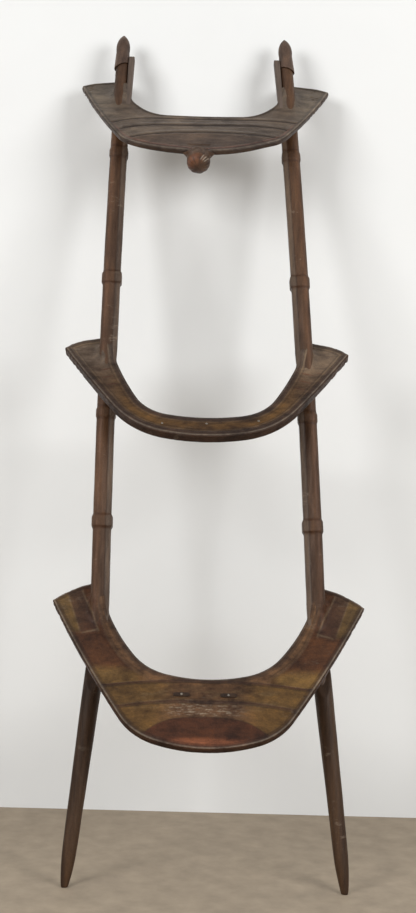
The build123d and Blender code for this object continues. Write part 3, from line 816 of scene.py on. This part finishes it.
def dress_front():
    """Front arch: three curved grooves with a raised crest above each, painted shade in the
    grooves and a painted highlight on the crests.
    """
    coat = BoardCoat(board_skin(FRONT), FRONT, GREY)
    # paler, greyer wings, partly painted sheen
    coat.lay(step(coat.side, 150, 205), WING_TONE_AND_SHEEN, 0.85)
    coat.lay(step(coat.up, -50, -30) * step(-coat.side, -150, -110), UMBER, 0.6)
    grooves = (
        ([(-168, -71), (-153, -61), (-97, -53), (0, -52), (95, -50), (166, -57)], 170),
        ([(-151, -91), (-140, -85), (-96, -77), (0, -73), (86, -72), (149, -82)], 152),
        ([(-133, -120), (-124, -115), (-94, -107), (0, -97), (77, -100), (132, -111)], 134),
    )
    for points, ends in grooves:
        line = coat.above(points, mirror=False)
        reach = step(-coat.side, -ends - 5, -ends + 5)
        # painted highlight on the crest above each groove, and painted shade in the groove
        coat.lay(ridge(line - 4, 3.2) * reach, CREST_HIGHLIGHT, 0.5, 0.9)
        coat.lay(ridge(line, 2.2) * reach, LINE_AND_SHADE, 0.85, -1.0)
    low = coat.above(grooves[2][0], mirror=False)
    coat.lay(step(-low, 2, 8) * step(-coat.side, -150, -120), BROWN, 0.8)
    # painted highlight line along the middle of the lower rim, and painted shade in a groove
    # along the rim of the wings
    coat.lay(ridge(coat.far - 8, 2.4) * coat.outer * step(-coat.side, -175, -150), PINK_RIM_HIGHLIGHT, 0.5, 0.3)
    coat.lay(ridge(coat.far - 8, 2.0) * coat.outer * step(coat.side, 170, 190), LINE_AND_SHADE, 0.3, -0.3)
    rim_strokes(coat, width=5)
    coat.round_edge(reach=6, depth=3.0)
    coat.ragged(step(coat.side, 180, 205), depth=1.1)
    coat.finish()


def dress_pole(side, sign):
    """One hide over a pole and its lath, with rings and collars as soft swellings."""
    s = side + "_"
    bands = [s + name for name in ("upper_ring", "lower_ring", "front_collar", "middle_collar")]
    sleeves = [s + name for name in ("upper_sleeve", "lower_sleeve", "upper_lath", "lower_lath")]
    obj = joined(s + "pole_wrap", sleeves + bands + [s + "pole"])
    filled(obj, voxel=1.4, reach=2.4, times=5)
    uneven(obj, amount=0.5, size=9.0, stretch=0.35)
    rides(obj, "pole", "hide_pole", *sleeves, *bands)
    coat = Coat(obj, POLE)
    x, y, z = (coat.places / MM).T
    along = (y - RAILS_Y / MM) * math.sin(LEAN) + z * math.cos(LEAN)
    inwards = sign * (sign * half_spacing(along) + rack(along) + RAILS_X / MM - x)
    coat.lay(step(inwards, LATH_SEAM - 1, LATH_SEAM + 2), LATH, 0.75)
    coat.lay(ridge(inwards - LATH_SEAM, 1.3), LINE_AND_SHADE, 0.55, -0.5)
    # painted highlight: a paler streak down the pole, beside its axis
    coat.lay(ridge(inwards + 4, 3.5), POLE_HIGHLIGHT, 0.45)
    for height in BAND_HEIGHTS:
        for edge in (-BAND_EDGE, BAND_EDGE):
            coat.lay(ridge(along - height - edge, 2.2), SOOT, 0.55)
    coat.finish()


# The pommel knob, in millimetres up the front arch from the arch's lower edge
KNOB_ACROSS, KNOB_DROP = -7, -158.5     # where its axis meets that edge
KNOB_TOP, KNOB_SHOULDER, KNOB_END = 18.0, -27.0, -45.6
KNOB_RADIUS = 20.9
NECK_LOW, NECK_TOP = -12, 2             # where it narrows into the board
NECK_DEPTH = 4.0
FLARE_WIDTH = 7.0                       # of the neck, across the board
PLEATS = 12


def knob_point(angle, along):
    """Place on the knob, how far it is on the way to the end, and the wave of the pleats."""
    drop = max(0.0, (KNOB_SHOULDER - along) / (KNOB_SHOULDER - KNOB_END))
    wide = KNOB_RADIUS * math.sqrt(max(0.0, 1 - drop**2.5))
    wave = math.sin(PLEATS * angle + 2.4 * math.sin(2 * angle))
    pleat = drop * (1 - drop) * (0.8 - 1.3 * wave)
    rough = noise.noise(Vector((math.cos(angle), math.sin(angle), along / 16)) * 2)
    own = max(0.0, wide - pleat - 0.5 * (0.5 + 0.5 * rough) * min(1.0, wide / 6))
    flare = own + FLARE_WIDTH * math.exp(-(((along + 1) / 5) ** 2))
    deep = own + (NECK_DEPTH - own) * float(step(along, NECK_LOW, NECK_TOP))
    out = Vector((math.cos(angle) * flare, 0, 0)) + FRONT.normal * (math.sin(angle) * deep)
    centre = FRONT.at(KNOB_ACROSS, KNOB_DROP, -FRONT.half)
    return centre + out * MM + FRONT.up * (along * MM), drop, wave


def knob():
    """Hide drawn over a wooden ball and gathered in pleats at its end."""
    around, rows = 120, 90
    mesh = bmesh.new()
    rings = []
    facts = []
    for row in range(rows + 1):
        along = KNOB_TOP + (KNOB_END - KNOB_TOP) * math.sin(row / rows * math.pi / 2)
        ring = []
        for i in range(around):
            angle = 2 * math.pi * i / around
            place, drop, wave = knob_point(angle, along)
            ring.append(mesh.verts.new(place))
            facts.append((angle, drop, wave))
        rings.append(ring)
    for low, high in zip(rings, rings[1:]):
        for i in range(around):
            mesh.faces.new((low[i], low[(i + 1) % around], high[(i + 1) % around], high[i]))
    mesh.faces.new(list(reversed(rings[0])))
    mesh.faces.new(rings[-1])
    bmesh.ops.recalc_face_normals(mesh, faces=mesh.faces)
    obj = linked("pommel_hide", mesh)
    obj.data.shade_smooth()
    rides(obj, "knob", "hide_brown", "pommel_knob", "pommel_peg")

    coat = Coat(obj, BALL)
    angle, drop, wave = np.array(facts).T
    left = step(np.cos(angle - 2.4), -0.2, 0.9)
    coat.lay(left * step(drop, 0.05, 0.5), RUST, 0.6)
    # painted shade in the valleys between the pleats
    coat.lay(step(drop, 0.2, 0.7) * step(-wave, 0.2, 1), LINE_AND_SHADE, 0.5)
    coat.lay(step(drop, 0.75, 1), PUCKER, 0.6)
    shown = step(drop, 0.25, 0.4) * step(-drop, -0.85, -0.7)
    for place in (0.35, 0.62, 0.9):
        coat.lay(ridge(angle - place - 0.5 * drop, 0.035) * shown, THONG, 0.85, 0.5)
    coat.finish()


dress_rear()
dress_middle()
dress_front()
for side, sign in SIDES.items():
    s = side + "_"
    dress_pole(side, sign)
    leg = rounded(joined(s + "leg_hide", [s + "leg"]), voxel=1.5, times=4)
    uneven(leg, amount=0.6, size=12.0, stretch=0.25)
    rides(leg, "leg", "wood_pole", s + "leg")
    cap = rounded(joined(s + "tip_hide", [s + "tip_cap"]), voxel=1.0, times=5)
    uneven(cap, amount=0.3, size=7.0)
    rides(cap, "cap", "hide_pole", s + "tip_cap")
    middle = rails(sign * half_spacing(TIP_MIDDLE) + rack(TIP_MIDDLE), TIP_MIDDLE)
    tip = joined(s + "tip_wrap", [s + "tip_sleeve", s + "pole"], near(middle, TIP_REACH))
    rounded(tip, voxel=1.3, times=4)
    uneven(tip, amount=0.3, size=9.0)
    rides(tip, "tip", "hide_pole", s + "tip_sleeve")
    paint(NODES[s + "tip_lath"], "lath")
    bevel(NODES[s + "tip_lath"], width=2.0, segments=4)
    paint(NODES[s + "pole"], "wood")
knob()
paint(NODES["rear_arch_tabs"], "tab")
bevel(NODES["rear_arch_tabs"], width=0.5, segments=3)
for node in ("front_arch_core", "middle_arch_core", "rear_arch_core", "scarf_pegs"):
    paint(NODES[node], "wood")
for node in ("middle_arch_nails", "rear_arch_nails"):
    paint(NODES[node], "iron")


# Wall, floor, light and camera

def plain(name, colour, speck, size, rough, one_sided=False):
    """Faintly mottled paint or earth. Where it has one side only, it is clear from behind."""
    graph = Graph(name)
    spots = graph.noise(graph.coords(), scale=size, detail=6.0, rough=0.6)
    tone = graph.ramp(spots, [(0.3, tuple(c * (1 - speck) for c in colour)), (0.7, colour)])
    normal = graph.bump(spots, strength=0.15, distance=0.002)
    mat = graph.finish(tone, rough, normal)
    if one_sided:
        output = next(node for node in graph.tree.nodes if node.type == "OUTPUT_MATERIAL")
        shader = output.inputs[0].links[0].from_socket
        behind = graph.tree.nodes.new("ShaderNodeNewGeometry").outputs["Backfacing"]
        clear = graph.node("ShaderNodeBsdfTransparent")
        both = graph.node("ShaderNodeMixShader", {0: behind, 1: shader, 2: clear})
        graph.tree.links.new(both, output.inputs[0])
    return mat


def slab(name, corners, material):
    """Flat piece of the surroundings."""
    data = bpy.data.meshes.new(name)
    data.from_pydata(corners, [], [(0, 1, 2, 3)])
    data.materials.append(material)
    obj = added(name, data)


# Metres: half width and half depth of the floor, and the wall that the frame leans towards
STAGE_X, STAGE_Y = 4, 5
WALL_Y, WALL_Z = 0.2618, 4
slab(
    "floor",
    [
        (-STAGE_X, -STAGE_Y, 0), (STAGE_X, -STAGE_Y, 0),
        (STAGE_X, STAGE_Y, 0), (-STAGE_X, STAGE_Y, 0),
    ],
    plain("floor", (0.36, 0.29, 0.21), speck=0.25, size=24.0, rough=0.75),
)
slab(
    "wall",
    [
        (-STAGE_X, WALL_Y, 0), (STAGE_X, WALL_Y, 0),
        (STAGE_X, WALL_Y, WALL_Z), (-STAGE_X, WALL_Y, WALL_Z),
    ],
    plain("wall", (0.84, 0.85, 0.845), speck=0.03, size=3.0, rough=0.85, one_sided=True),
)


def lamp(name, place, target, size, power):
    """Soft rectangular lamp. Metres and watts."""
    data = bpy.data.lights.new(name, "AREA")
    data.shape = "RECTANGLE"
    data.size, data.size_y = size
    data.energy = power
    obj = added(name, data)
    obj.location = place
    obj.rotation_euler = (Vector(target) - Vector(place)).to_track_quat("-Z", "Y").to_euler()


lamp("key", place=(-1.9, -2.0, 1.8), target=(0, 0, 0.5), size=(1.2, 1.2), power=47)
lamp("fill", place=(2.0, -2.0, 1.6), target=(0, 0, 0.5), size=(1.3, 1.3), power=50)
lamp("top", place=(0.1, -1.1, 3.0), target=(0, 0, 0.8), size=(1.6, 0.8), power=4)

world = bpy.data.worlds.new("studio")
world.use_nodes = True
background = world.node_tree.nodes["Background"]
background.inputs["Color"].default_value = (1, 1, 1, 1)
background.inputs["Strength"].default_value = 0.35
bpy.context.scene.world = world
bpy.context.scene.view_settings.view_transform = "Standard"

CAMERA_PLACE = (-0.0056, -2.1738, 0.6835)
CAMERA_ROLL = math.radians(1.5)
camera = bpy.data.cameras.new("camera")
camera.sensor_fit = "VERTICAL"
camera.sensor_height = 36.0
camera.lens = 50.0
viewer = added("camera", camera)
viewer.matrix_world = (
    Matrix.Translation(CAMERA_PLACE)
    @ Matrix.Rotation(math.pi / 2, 4, "X")
    @ Matrix.Rotation(CAMERA_ROLL, 4, "Z")
)
bpy.context.scene.camera = viewer

bpy.context.view_layer.update()
